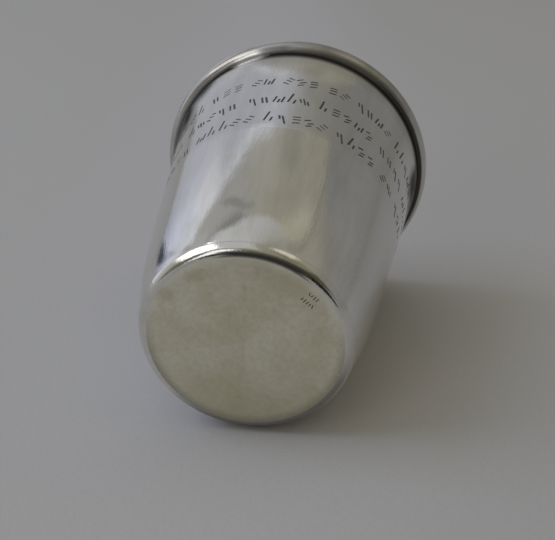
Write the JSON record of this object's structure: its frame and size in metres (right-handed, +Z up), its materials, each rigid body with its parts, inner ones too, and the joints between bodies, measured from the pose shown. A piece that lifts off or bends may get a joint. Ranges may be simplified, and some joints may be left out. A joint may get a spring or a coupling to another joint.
{
  "type": "kiddush cup",
  "caption": "Tapered silver beaker with a rounded moulding round its lip, a rounded heel, a flat base and engraved rows below the lip.",
  "frame": {"origin": "centre of the flat underside of the base, which the cup stands on", "axes": "+Z up along the cup's axis of turning, out of its mouth; the middle of the engraved rows faces between +X and -Y"},
  "size_m": [0.0642, 0.0642, 0.08],
  "materials": {
    "silver": "polished silver, lightly handled: fine hairline scratches and soft smudges outside, satin with a warm tarnish under the base and plainer satin inside"
  },
  "bodies": {
    "root": {"cup": "silver"}
  },
  "joints": []
}
